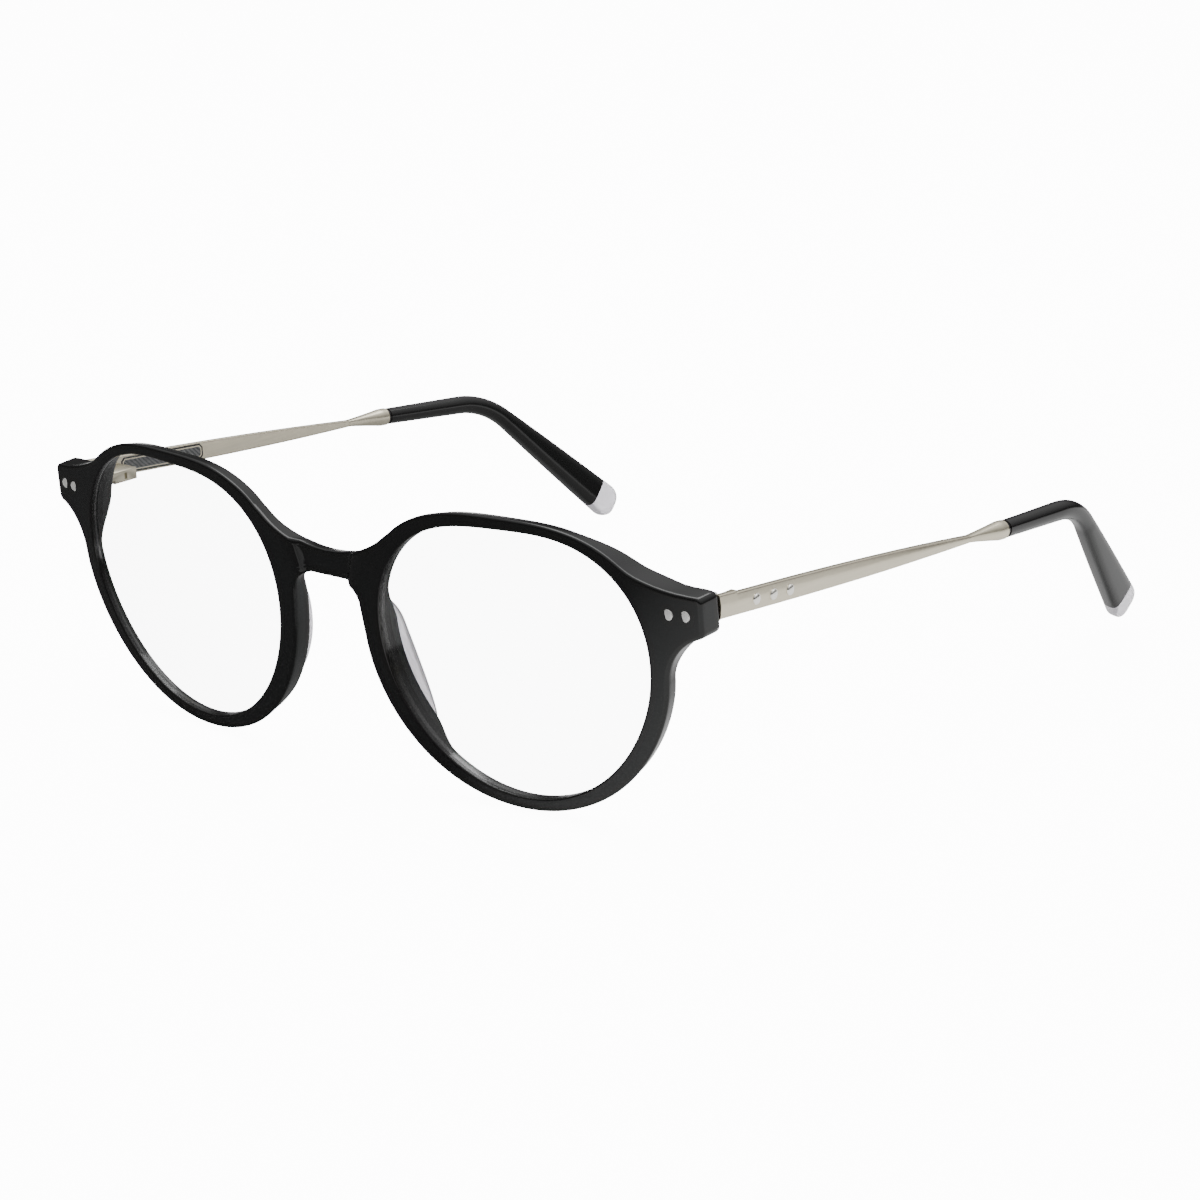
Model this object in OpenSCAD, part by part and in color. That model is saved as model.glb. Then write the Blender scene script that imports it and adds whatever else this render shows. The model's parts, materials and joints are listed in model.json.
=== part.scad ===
/* [Front] */
// Distance between the two lens centres
lens_spacing = 69; // [66:0.5:72]
// Mean radius of the lens openings
lens_mean = 22.3; // [21.5:0.1:23]
// How much wider than high the openings are, as a radius
lens_oval = 1.64; // [1:0.02:2]
// Lean of the oval, outwards at the top
lens_skew = 0.22; // [0:0.02:0.4]
// Squareness of the brow over the pointed lower half
lens_panto = 0.91; // [0.4:0.01:1.1]
// Fullness of the four corners
lens_full = 0.22; // [0:0.02:0.4]
// Width of the rim where it is slimmest, at the top and bottom
rim_min = 1.95; // [1.8:0.05:2.5]
// Extra rim width at the temple and nose sides
rim_side = 1.1; // [0.8:0.05:1.4]
// Extra rim width behind the nose pads
rim_nose = 0.5; // [0.2:0.05:0.8]
// How much the rim slims above the endpiece
rim_brow = 0.5; // [0:0.05:0.5]
// Depth of the rims, front to back
rim_depth = 2.7; // [2.6:0.1:3]
// Radius of the front's curve
front_r = 330; // [300:10:400]
// Forward lean of the front, in degrees
front_lean = 4.1; // [3:0.1:5]
// Half of the front's whole width
half_width = 67.3; // [66.5:0.1:68]
// Height of the bridge at its middle
bridge_h = 4; // [3.5:0.1:4.5]
// How far the bridge is set back behind the rims
bridge_step = 1; // [0.6:0.1:1.2]

/* [Lenses] */
// Depth of the groove that the lens edge sits in
groove_depth = 0.6; // [0.4:0.05:0.7]
// Thickness of the lenses
lens_t = 1.3; // [1.1:0.1:1.3]
// Distance from the front face to the groove
groove_from_front = 0.7; // [0.6:0.05:0.8]

/* [Nose pads] */
// Depth of the built-up seat behind the rim
seat_depth = 1.8; // [1.4:0.1:1.8]
// Depth of the pad behind its seat
pad_depth = 2.1; // [1.8:0.1:2.4]
// Half of the pad's length
pad_half = 9.6; // [9:0.1:10]

/* [Hinges] */
// Distance of the hinge screws from the middle plane
pin_x = 63.6; // [63.4:0.1:63.8]
// Distance of the hinge screws behind the front
pin_y = 12; // [12:0.05:12.2]
// Radius of the hinge knuckles
knuckle_r = 1.5; // [1.4:0.05:1.5]
// Height of one knuckle
knuckle_h = 1.12; // [1:0.01:1.12]
// Radius of the screw's shank
screw_r = 0.7; // [0.6:0.05:0.75]
// Running clearance between the shank and the temple's knuckle
screw_fit = 0.05; // [0.02:0.01:0.08]
// Radius of the rivets that hold the front leaves
rivet_r = 0.88; // [0.8:0.02:0.9]

/* [Temples] */
// Thickness of the flat metal arm
arm_t = 1.3; // [1.2:0.05:1.4]
// Half height of the arm at the hinge
arm_half_front = 1.62; // [1.55:0.01:1.7]
// Half height of the arm at its waist
arm_half_waist = 0.5; // [0.45:0.01:0.6]
// Distance from the hinge screw to the waist
waist_at = 56.5; // [55:0.5:57]
// Distance from the hinge screw to the end of the collar
collar_at = 65.5; // [65:0.5:66.5]
// Radius of the collar
collar_r = 1.48; // [1.46:0.01:1.6]
// Fall of the temple towards the ear, in degrees
arm_fall = 4.9; // [4.6:0.1:5]
// Distance from the collar to the start of the bend
bend_at = 16.5; // [16:0.1:16.6]
// Radius of the bend
bend_r = 16; // [15:0.5:16.5]
// How far the tip turns down in the bend, in degrees
bend_turn = 40.3; // [38:0.1:42]
// Lean of the bend towards the head, in degrees
bend_lean = 13.2; // [10:0.2:15]
// Inward turn of the tip at the collar, in degrees
tip_turn = 4.7; // [4:0.1:5]
// Length of the tip after the bend
tip_straight = 29; // [27:0.1:30]
// Length of the clear end of the tip
clear_len = 5; // [4:0.25:6]
// Radius of the tip at the collar
tip_r_start = 1.38; // [1.3:0.02:1.45]
// Radius of the tip in the bend
tip_r = 1.6; // [1.5:0.05:1.7]
// Half width of the tip at its end
tip_half_end = 3.1; // [2.8:0.05:3.2]
// Thickness of the tip across its flat sides
tip_t = 3.2; // [3:0.1:3.4]
// Radius of the domed studs on the arm
stud_r = 0.74; // [0.6:0.02:0.8]
// Length of the dark inlay on the arm's inner face
inlay_len = 16.6; // [14:0.2:18]

/* [Hidden] */
$fn = 96;

black = "#141416";
metal = [0.74, 0.71, 0.65];
bright = [0.86, 0.86, 0.84];
crystal = [0.86, 0.84, 0.9, 0.6];

// the front stands on its lower rims, and everything is centred front to back
lens_x = lens_spacing / 2;
lens_z = 23.103;
middle_y = 62.12;
outline_step = 4;
lens_clear = 0.03;
// the front face lies a little ahead of the lens centres' plane
front_ahead = 0.3;

// endpiece, in the front's own plane
end_top = 13.3;
end_bottom = 7.5;
end_corner = 1.1;
end_inner = 51.5;
end_rise = 4.5;
end_rear = 10.6;
// the hollow sweep under the endpiece
sweep_r = 7.9;
sweep_x = 69;
sweep_z = -0.3;
// the nose opening under the bridge
bridge_top = 11.4;
bridge_dip_r = 22.7;
arch_half = 6.9;
arch_corner = 3.5;
arch_flare = 1.1;
nose_deep = 9;
web_half = 15.2;
web_top = 17.3;
step_top_x = 7.05;
step_bottom_x = 5.3;
// where the pads lie on the rims, and how far they splay to follow the nose
pad_x = 10.5;
pad_z = -4.6;
pad_splay = 25;
splay_x = 8;
splay_y = 2.4;
// front leaf and its rivets
rivet_z = 10.45;
rivet_x = [62.03, 64.67];
leaf_x = 61.05;
leaf_w = 4.9;
leaf_z = 9.6;
leaf_t = 1;
leaf_half_h = 2;
// the arm lies outside the screw, turned in a little towards the ear
arm_u = 2.45;
arm_turn = 1.03;
arm_front = -2;
arm_z = 34.22;
hinge_z = 33.3;
knuckle_gap = 0.05;
stud_at = [5.8, 9.6, 13.3];
stud_deep = 0.45;
inlay_at = 6.9;
inlay_half = 1.35;
inlay_cut = 0.6;
inlay_t = 0.15;
wire_r = 0.6;
// the tip stands off the collar by a hair
collar_gap = 0.2;
wire_short = 3;
tip_wide = 5;
// the clear end is rounded by a ball of this radius
end_round = 4.5;

// distance from a lens centre to the edge of its opening; 0 degrees is the temple side
function lens_edge(a) = lens_mean + lens_oval * cos(2 * a) + lens_skew * sin(2 * a)
    + lens_panto * sin(3 * a) - lens_full * cos(4 * a);
function bump(a, at) = pow(max(0, cos(a - at)), 4);
function rim_width(a) = rim_min + rim_side * pow(cos(a), 2) + rim_nose * bump(a, 205)
    - rim_brow * bump(a, 50);
// height of the endpiece's top edge
function end_edge(x) = end_top + end_rise * pow((half_width - x) / (half_width - end_inner), 2);

module placed() translate([0, -middle_y, 0]) children();
module in_front() placed() translate([0, 0, lens_z]) rotate([front_lean, 0, 0]) children();
module right_side() mirror([1, 0, 0]) children();

// an outline in the front's plane, carried back through the front
module through() translate([0, 18, 0]) rotate([90, 0, 0]) linear_extrude(22) children();
// the layer of the curved front between two depths
module layer(near, far) {
    translate([0, front_r - front_ahead, 0]) difference() {
        sphere(r = front_r - near, $fn = 360);
        sphere(r = front_r - far, $fn = 360);
    }
}
module lens_outline(grow) {
    translate([lens_x, 0]) polygon([
        for (a = [0 : outline_step : 359]) (lens_edge(a) + grow) * [cos(a), sin(a)]
    ]);
}
module rim_outline() {
    translate([lens_x, 0]) polygon([
        for (a = [0 : outline_step : 359]) (lens_edge(a) + rim_width(a)) * [cos(a), sin(a)]
    ]);
}
module endpiece_outline() {
    far = half_width - end_corner;
    steps = 8;
    difference() {
        union() {
            polygon(concat(
                [for (i = [0 : steps]) let (x = end_inner + (far - end_inner) * i / steps)
                    [x, end_edge(x)]],
                [[far, end_bottom], [sweep_x - sweep_r + 0.1, sweep_z], [59.5, -5], [end_inner, 0]]
            ));
            for (z = [end_bottom + end_corner, end_top - end_corner]) translate([far, z])
                circle(end_corner);
            translate([far - 1, end_bottom + end_corner])
                square([end_corner + 1, end_top - end_bottom - 2 * end_corner]);
        }
        translate([sweep_x, sweep_z]) circle(sweep_r);
    }
}
module nose_opening() {
    for (side = [-1, 1]) translate([side * (arch_half - arch_corner), bridge_top - bridge_h
        - arch_corner]) circle(arch_corner);
    translate([0, bridge_top - bridge_h - arch_corner]) polygon([
        [-arch_half, 0], [arch_half, 0], [arch_half + arch_flare, -nose_deep],
        [-arch_half - arch_flare, -nose_deep]
    ]);
    translate([arch_corner - arch_half, bridge_top - bridge_h - nose_deep])
        square([2 * (arch_half - arch_corner), nose_deep]);
}
module web_outline() {
    difference() {
        translate([-web_half, 0]) square([2 * web_half, web_top]);
        translate([0, bridge_top + bridge_dip_r]) circle(bridge_dip_r);
        nose_opening();
    }
}
module recess_outline() {
    polygon([
        [-step_top_x, bridge_top + 2], [step_top_x, bridge_top + 2],
        [step_bottom_x, bridge_top - bridge_h - 1.5], [-step_bottom_x, bridge_top - bridge_h - 1.5]
    ]);
}
module pad_outline(grow) {
    intersection() {
        difference() {
            rim_outline();
            lens_outline(grow);
        }
        translate([pad_x, pad_z]) circle(pad_half);
    }
}

module splayed() {
    translate([splay_x, splay_y, 0]) rotate([0, 0, -pad_splay]) translate([-splay_x, -splay_y, 0])
        children();
}
module pad_layer(near, far, grow) {
    intersection() {
        layer(near, far);
        through() pad_outline(grow);
        splayed() through() rim_outline();
    }
}

module front_frame() {
    color(black) in_front() difference() {
        union() {
            intersection() {
                layer(0, rim_depth);
                through() union() {
                    for (side = [0, 1]) mirror([side, 0]) {
                        rim_outline();
                        endpiece_outline();
                    }
                    web_outline();
                }
            }
            for (side = [0, 1]) mirror([side, 0, 0]) {
                pad_layer(rim_depth - 0.5, rim_depth + seat_depth, 0);
                intersection() {
                    layer(1, 8);
                    intersection() {
                        translate([0, 0, -20]) linear_extrude(60) endpiece_plan();
                        rotate([90, 0, 90]) linear_extrude(80) endpiece_side();
                    }
                    through() endpiece_outline();
                }
            }
        }
        intersection() {
            layer(-2, bridge_step);
            through() recess_outline();
        }
        for (side = [0, 1]) mirror([side, 0, 0]) {
            through() lens_outline(0);
            intersection() {
                layer(groove_from_front, groove_from_front + lens_t);
                through() lens_outline(groove_depth);
            }
            leaf_pocket();
            front_rivet_shanks();
        }
    }
}

// the endpiece seen from above: it thickens towards a flat face for the hinge
module endpiece_plan() {
    polygon([[56, 2], [80, 2], [80, end_rear], [61, end_rear], [59, end_rear - 1.2], [56, 7]]);
}
// and seen from the side: the thickening fades out below the hinge
module endpiece_side() {
    polygon([[2, 2.5], [7, 2.5], [end_rear, 6.6], [end_rear, 30], [2, 30]]);
}
module leaf_pocket() {
    translate([leaf_x, end_rear - leaf_t, leaf_z - leaf_half_h])
        cube([leaf_w, leaf_t + 1, 2 * leaf_half_h]);
}
module front_rivet_shanks() {
    for (x = rivet_x) translate([x, 2, rivet_z]) rotate([-90, 0, 0])
        cylinder(r = rivet_r, h = end_rear - leaf_t - 2);
}

module lens_left() {
    color([0.9, 0.95, 0.97, 0.35]) in_front() intersection() {
        layer(groove_from_front + lens_clear, groove_from_front + lens_t - lens_clear);
        through() lens_outline(groove_depth - lens_clear);
    }
}
module lens_right() right_side() lens_left();

module nose_pad_left() {
    color(crystal) in_front()
        pad_layer(rim_depth + seat_depth, rim_depth + seat_depth + pad_depth, 0.3);
}
module nose_pad_right() right_side() nose_pad_left();

module front_rivets_left() {
    color(bright) in_front() intersection() {
        front_rivet_shanks();
        layer(0, 20);
    }
}
module front_rivets_right() right_side() front_rivets_left();

// knuckles are stacked on the screw: front, temple, front
function knuckle_low(i) = hinge_z + (i - 1.5) * knuckle_h;
module knuckle(i, bore) {
    translate([0, 0, knuckle_low(i) + knuckle_gap / 2]) difference() {
        union() {
            cylinder(r = knuckle_r, h = knuckle_h - knuckle_gap);
            children();
        }
        translate([0, 0, -1]) cylinder(r = bore, h = knuckle_h + 2);
    }
}
module front_hinge_left() {
    color(metal) {
        in_front() translate([leaf_x, end_rear - leaf_t, leaf_z - leaf_half_h])
            cube([leaf_w, leaf_t, 2 * leaf_half_h]);
        placed() translate([pin_x, pin_y, 0]) for (i = [0, 2]) knuckle(i, screw_r)
            translate([-knuckle_r, -2.2, 0]) cube([2 * knuckle_r, 2.2, knuckle_h - knuckle_gap]);
    }
}
module front_hinge_right() right_side() front_hinge_left();

module hinge_screw_left() {
    top = knuckle_low(3);
    color(bright) placed() translate([pin_x, pin_y, 0]) difference() {
        union() {
            translate([0, 0, knuckle_low(0)]) cylinder(r = screw_r, h = 3 * knuckle_h);
            translate([0, 0, top - knuckle_gap / 2]) cylinder(r = 1.2, h = 0.45);
        }
        translate([-2, -0.15, top + 0.2]) cube([4, 0.3, 1]);
    }
}
module hinge_screw_right() right_side() hinge_screw_left();

// the temple's own frame: u outwards from the screw, then along the arm, then up
module on_temple() placed() translate([pin_x, pin_y, 0]) rotate([0, 0, arm_turn]) children();
module side_on(u, t) translate([u, 0, 0]) rotate([90, 0, 90]) linear_extrude(t) children();
// along the arm's own slope, starting a distance from the screw
module down_arm(d) translate([arm_u + arm_t / 2, d * cos(arm_fall), arm_z - d * sin(arm_fall)])
    rotate([-90 - arm_fall, 0, 0]) children();

function arm_half(d) = arm_half_front
    - (arm_half_front - arm_half_waist) * pow(max(0, d) / waist_at, 2.6);
module arm_outline() {
    steps = 14;
    span = waist_at - arm_front;
    function at(i) = arm_front + span * i / steps;
    function mid(d) = arm_z - d * tan(arm_fall);
    polygon(concat(
        [for (i = [0 : steps]) let (d = at(i)) [d, mid(d) + arm_half(d)]],
        [for (i = [steps : -1 : 0]) let (d = at(i)) [d, mid(d) - arm_half(d)]]
    ));
}
module inlay_outline(grow) {
    l = inlay_len + 2 * grow;
    h = inlay_half + grow;
    c = inlay_cut;
    translate([inlay_at - grow, arm_z - (inlay_at - grow) * tan(arm_fall)]) rotate(-arm_fall)
        polygon([
            [c, -h], [l - c, -h], [l, c - h], [l, h - c],
            [l - c, h], [c, h], [0, h - c], [0, c - h]
        ]);
}
module temple_arm_left() {
    color(metal) on_temple() difference() {
        side_on(arm_u, arm_t) arm_outline();
        side_on(arm_u - 1, inlay_t + 1) inlay_outline(0);
        for (d = stud_at) stud_hole(d);
    }
}
module temple_arm_right() right_side() temple_arm_left();

module stud_hole(d) {
    translate([arm_u + arm_t - stud_deep, d, arm_z - d * tan(arm_fall)]) rotate([0, 90, 0])
        cylinder(r = stud_r - 0.2, h = 2);
}
module temple_studs_left() {
    color(bright) on_temple() for (d = stud_at)
        translate([arm_u + arm_t, d, arm_z - d * tan(arm_fall)]) rotate([0, 90, 0]) {
            translate([0, 0, -stud_deep]) cylinder(r = stud_r - 0.2, h = stud_deep);
            intersection() {
                cylinder(r = stud_r, h = 1);
                translate([0, 0, 0.36 - 1.1]) sphere(r = 1.1);
            }
        }
}
module temple_studs_right() right_side() temple_studs_left();

module temple_inlay_left() {
    color([0.16, 0.16, 0.17]) on_temple() side_on(arm_u, inlay_t) inlay_outline(0);
}
module temple_inlay_right() right_side() temple_inlay_left();

// block soldered to the arm's inner face, with the middle knuckle
module temple_hinge_left() {
    block_h = 1.9;
    block_start = 2.1;
    block_len = 4.6;
    color(metal) {
        placed() translate([pin_x, pin_y, 0]) knuckle(1, screw_r + screw_fit)
            rotate([0, 0, arm_turn]) translate([-knuckle_r, 0, 0])
                cube([2 * knuckle_r, block_start + 0.5, knuckle_h - knuckle_gap]);
        on_temple() difference() {
            translate([-knuckle_r, block_start, hinge_z - 0.15 - block_h / 2])
                cube([arm_u + knuckle_r, block_len, block_h]);
            translate([-knuckle_r - 1, 4.2, hinge_z - 0.7]) cube([1.6, 0.5, 1]);
        }
    }
}
module temple_hinge_right() right_side() temple_hinge_left();

module temple_collar_left() {
    start = waist_at / cos(arm_fall);
    reach = (collar_at - collar_gap) / cos(arm_fall) - start;
    color(metal) on_temple() down_arm(start) rotate_extrude() polygon(concat(
        [[0, 0]],
        [for (i = [0 : 8]) [0.8 + (collar_r - 0.9) * pow(i / 8, 1.6), (reach - 1.4) * i / 8]],
        [[collar_r, reach - 1.3], [collar_r, reach], [0, reach]]
    ));
}
module temple_collar_right() right_side() temple_collar_left();

// the tip leaves the collar along its own z axis, and bends towards its own +y
module on_tip() on_temple()
    translate([arm_u + arm_t / 2, collar_at, arm_z - collar_at * tan(arm_fall)])
        rotate([-90 - arm_fall, 0, tip_turn]) rotate([0, 0, bend_lean]) children();
module after_bend() translate([0, bend_r, bend_at]) rotate([-bend_turn, 0, 0])
    translate([0, -bend_r, 0]) children();
module bend(r) translate([0, bend_r, bend_at]) rotate([0, -90, 0]) rotate([0, 0, -90])
    rotate_extrude(angle = bend_turn) translate([bend_r, 0]) circle(r);
module core_shape() {
    cylinder(r = wire_r, h = bend_at);
    bend(wire_r);
    after_bend() cylinder(r = wire_r, h = tip_straight - clear_len - wire_short);
}
module tip_bar() cylinder(r1 = tip_r, r2 = tip_half_end, h = tip_straight);
module temple_tip_left() {
    color(black) on_tip() difference() {
        union() {
            cylinder(r1 = tip_r_start, r2 = tip_r, h = bend_at);
            bend(tip_r);
            after_bend() intersection() {
                tip_bar();
                translate([-tip_t / 2, -tip_wide, 0])
                    cube([tip_t, 2 * tip_wide, tip_straight - clear_len]);
            }
        }
        core_shape();
    }
}
module temple_tip_right() right_side() temple_tip_left();

module tip_end_left() {
    color(crystal) on_tip() after_bend() intersection() {
        tip_bar();
        translate([-tip_t / 2, -tip_wide, tip_straight - clear_len])
            cube([tip_t, 2 * tip_wide, clear_len]);
        translate([0, 0, tip_straight - end_round]) sphere(r = end_round);
    }
}
module tip_end_right() right_side() tip_end_left();

module core_wire_left() color(metal) on_tip() core_shape();
module core_wire_right() right_side() core_wire_left();

front_frame();
lens_right();
lens_left();
nose_pad_right();
nose_pad_left();
front_hinge_right();
front_hinge_left();
front_rivets_right();
front_rivets_left();
hinge_screw_right();
hinge_screw_left();
temple_arm_right();
temple_arm_left();
temple_hinge_right();
temple_hinge_left();
temple_studs_right();
temple_studs_left();
temple_inlay_right();
temple_inlay_left();
temple_collar_right();
temple_collar_left();
temple_tip_right();
temple_tip_left();
tip_end_right();
tip_end_left();
core_wire_right();
core_wire_left();
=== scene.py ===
import json
import math
import bmesh
import bpy
import numpy as np
from mathutils import Matrix, Vector

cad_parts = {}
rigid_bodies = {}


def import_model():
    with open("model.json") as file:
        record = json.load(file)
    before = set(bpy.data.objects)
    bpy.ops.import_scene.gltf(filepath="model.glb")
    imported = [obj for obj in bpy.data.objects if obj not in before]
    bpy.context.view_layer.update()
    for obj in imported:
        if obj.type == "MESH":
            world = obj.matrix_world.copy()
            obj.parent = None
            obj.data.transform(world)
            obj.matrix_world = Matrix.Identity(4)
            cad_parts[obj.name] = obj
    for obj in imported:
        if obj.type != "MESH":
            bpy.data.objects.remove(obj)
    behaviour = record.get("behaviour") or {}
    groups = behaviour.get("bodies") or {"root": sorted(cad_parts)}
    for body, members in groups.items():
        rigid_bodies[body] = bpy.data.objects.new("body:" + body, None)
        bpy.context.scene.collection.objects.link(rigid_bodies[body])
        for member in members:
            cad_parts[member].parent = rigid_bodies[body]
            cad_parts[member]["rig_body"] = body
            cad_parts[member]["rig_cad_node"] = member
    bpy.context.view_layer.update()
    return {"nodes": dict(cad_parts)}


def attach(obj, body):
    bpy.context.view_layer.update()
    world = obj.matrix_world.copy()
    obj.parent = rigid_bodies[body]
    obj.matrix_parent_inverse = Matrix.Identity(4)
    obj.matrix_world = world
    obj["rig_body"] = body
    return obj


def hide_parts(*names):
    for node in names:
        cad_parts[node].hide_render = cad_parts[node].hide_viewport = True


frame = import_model()
nodes = frame["nodes"]
for o in bpy.context.selected_objects:
    o.select_set(False)

# ---------------------------------------------------------------------------
# FRONT. One piece of black cellulose acetate, cut from a sheet that is bent to a gentle curve.
# Both rims, the saddle bridge, the endpieces and the built-up seats behind the nose are one
# piece; tumbling softens its edges and gives the polish.
MM = 0.001
MIDDLE_Y, LENS_Z, LEAN = 62.12, 23.103, math.radians(4.1)
LENS_X = 34.5
FRONT_R, FRONT_AHEAD = 330.0, 0.3
RIM_DEPTH = 2.7
HOLD = 0.62                      # a line of faces this far inside each edge keeps the face flat
END_TOP, END_BOTTOM, END_RISE, END_CORNER = 13.3, 7.15, 4.5, 1.1
HALF_WIDTH, END_INNER, END_REAR = 67.3, 51.5, 10.6
SWEEP_X, SWEEP_Z, SWEEP_R = 69.0, -0.3, 7.9
BRIDGE_TOP, BRIDGE_UNDER, DIP_R = 11.4, 7.4, 22.7
ARCH_HALF, ARCH_CORNER, ARCH_FLARE = 6.9, 3.5, 0.122
BRIDGE_STEP, STEP_WIDE, BRIDGE_BACK = 1.0, 1.4, 0.8
STEP_TOP, STEP_FOOT = (7.05, 12.8), (5.3, 6.9)
SEAT_DEPTH = 1.8
INNER_EDGE, FACE_EDGE, BACK_EDGE, WORN = 0.3, 0.42, 0.5, 0.45
WORN_OUT = (61, 66)              # the worn edge fades out across the endpiece
SEAT_IN, SEAT_OUT = (161, 177), (214, 231)   # in degrees round the opening
SEAT_EDGE, SEAT_LEAN = (5.0, 8.0), 0.85
BACK_FROM = 1.1                  # the sheet is built up only behind this depth
END_WIDENS, END_LIFTS = (46, 61), (0.5, 8.5)


def lens_edge(a):
    return (22.3 + 1.64 * np.cos(2 * a) + 0.22 * np.sin(2 * a)
            + 0.91 * np.sin(3 * a) - 0.22 * np.cos(4 * a))


def rim_edge(a):
    def near(at):
        return np.maximum(0, np.cos(a - math.radians(at))) ** 4
    return lens_edge(a) + 1.95 + 1.1 * np.cos(a) ** 2 + 0.5 * near(205) - 0.5 * near(50)


def from_front(x, y, z):
    """A place in the front's own leaning plane, in mm, to the shared frame, in metres."""
    c, s = math.cos(LEAN), math.sin(LEAN)
    return np.stack([x, y * c - z * s - MIDDLE_Y, y * s + z * c + LENS_Z], -1) * MM


def on_curve(x, z, depth):
    """How far back the curved sheet lies at a depth below its face."""
    return FRONT_R - FRONT_AHEAD - np.sqrt((FRONT_R - depth) ** 2 - x * x - z * z)


def places(obj):
    co = np.zeros(len(obj.data.vertices) * 3)
    obj.data.vertices.foreach_get("co", co)
    return co.reshape(-1, 3)


def move_to(obj, co):
    obj.data.vertices.foreach_set("co", np.asarray(co, float).ravel())
    obj.data.update()


def finish_shape(obj, angle=35, weighted=True):
    """Doubles merged, faces turned outwards, smooth across all but the sharp edges."""
    bpy.ops.object.select_all(action="DESELECT")
    obj.select_set(True)
    bpy.context.view_layer.objects.active = obj
    bpy.ops.object.mode_set(mode="EDIT")
    bpy.ops.mesh.select_all(action="SELECT")
    bpy.ops.mesh.remove_doubles(threshold=1e-6)
    bpy.ops.mesh.normals_make_consistent(inside=False)
    bpy.ops.object.mode_set(mode="OBJECT")
    bpy.ops.object.shade_smooth_by_angle(angle=math.radians(angle))
    if weighted:
        mod = obj.modifiers.new("weighted", "WEIGHTED_NORMAL")
        mod.keep_sharp = True
        bpy.ops.object.modifier_apply(modifier=mod.name)
    obj.select_set(False)


def arc(cx, cz, r, a0, a1, n):
    a = np.radians(np.linspace(a0, a1, n))
    return np.stack([cx + r * np.cos(a), cz + r * np.sin(a)], -1)


def front_outline():
    """Half of the outline, anticlockwise from under the middle of the bridge back to it."""
    corner_z = BRIDGE_UNDER - ARCH_CORNER
    corner_x = ARCH_HALF - ARCH_CORNER
    x = np.linspace(0, corner_x, 6)[:-1]
    under = np.stack([x, np.full_like(x, BRIDGE_UNDER)], -1)
    turn = arc(corner_x, corner_z, ARCH_CORNER, 90, 0, 12)
    z = np.linspace(corner_z, 0, 5)[1:-1]
    flare = np.stack([ARCH_HALF + (corner_z - z) * ARCH_FLARE, z], -1)
    a = np.radians(np.arange(180.5, 358, 2.4))
    rim = np.stack([LENS_X + rim_edge(a) * np.cos(a), rim_edge(a) * np.sin(a)], -1)
    sweep = arc(SWEEP_X, SWEEP_Z, SWEEP_R, 180, 108.1, 20)[:-1]
    far = HALF_WIDTH - END_CORNER
    low = arc(far, END_BOTTOM + END_CORNER, END_CORNER, -71.9, 0, 9)
    z = np.linspace(END_BOTTOM + END_CORNER, END_TOP - END_CORNER, 5)[1:-1]
    side = np.stack([np.full_like(z, HALF_WIDTH), z], -1)
    high = arc(far, END_TOP - END_CORNER, END_CORNER, 0, 80, 8)
    # from here the outline is the outer one of the rim and the endpiece or bridge edge
    x = np.linspace(66.0, END_INNER, 200)
    rise = END_RISE * ((HALF_WIDTH - x) / (HALF_WIDTH - END_INNER)) ** 2
    edge = np.stack([x, END_TOP + rise], -1)
    x = np.linspace(15.2, 0, 200)
    dip = np.stack([x, BRIDGE_TOP + DIP_R - np.sqrt(DIP_R ** 2 - x ** 2)], -1)
    a = np.radians(np.concatenate([np.arange(23.5, 141, 1.8), np.arange(142, 161, 0.8),
                                   [161.71]]))

    def reach(line):
        ang = np.arctan2(line[:, 1], line[:, 0] - LENS_X)
        order = np.argsort(ang)
        far = np.hypot(line[:, 0] - LENS_X, line[:, 1])[order]
        beyond = np.maximum(0, np.maximum(a - ang.max(), ang.min() - a))
        return np.interp(a, ang[order], far) - 10 * beyond
    end, bridge = reach(edge), reach(dip)
    bridge[-1] = math.hypot(LENS_X, BRIDGE_TOP)
    soft = 0.25
    r = soft * np.log(sum(np.exp((v - 26) / soft) for v in (rim_edge(a), end, bridge))) + 26
    eased = np.convolve(np.pad(r, 6, mode="edge"), np.hanning(15)[1:-1] / 7, mode="valid")
    near = np.exp(-((np.degrees(a) - 138) / 9) ** 4)
    r = r * (1 - near) + eased * near
    top = np.stack([LENS_X + r * np.cos(a), r * np.sin(a)], -1)
    top[-1] = 0, BRIDGE_TOP
    z = np.linspace(BRIDGE_TOP, BRIDGE_UNDER, 6)[1:-1]
    middle = np.stack([np.zeros_like(z), z], -1)
    return np.concatenate([under, turn, flare, rim, sweep, low, side, high, top, middle])


def ease(v, low, high):
    s = np.clip((v - low) / (high - low), 0, 1)
    return s * s * (3 - 2 * s)


def seat_rise(degrees):
    """How much of its full depth a seat has, by the angle round the opening."""
    return ease(degrees, *SEAT_IN) * (1 - ease(degrees, *SEAT_OUT))


def unit(v):
    return v / np.linalg.norm(v, axis=-1, keepdims=True)


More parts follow.
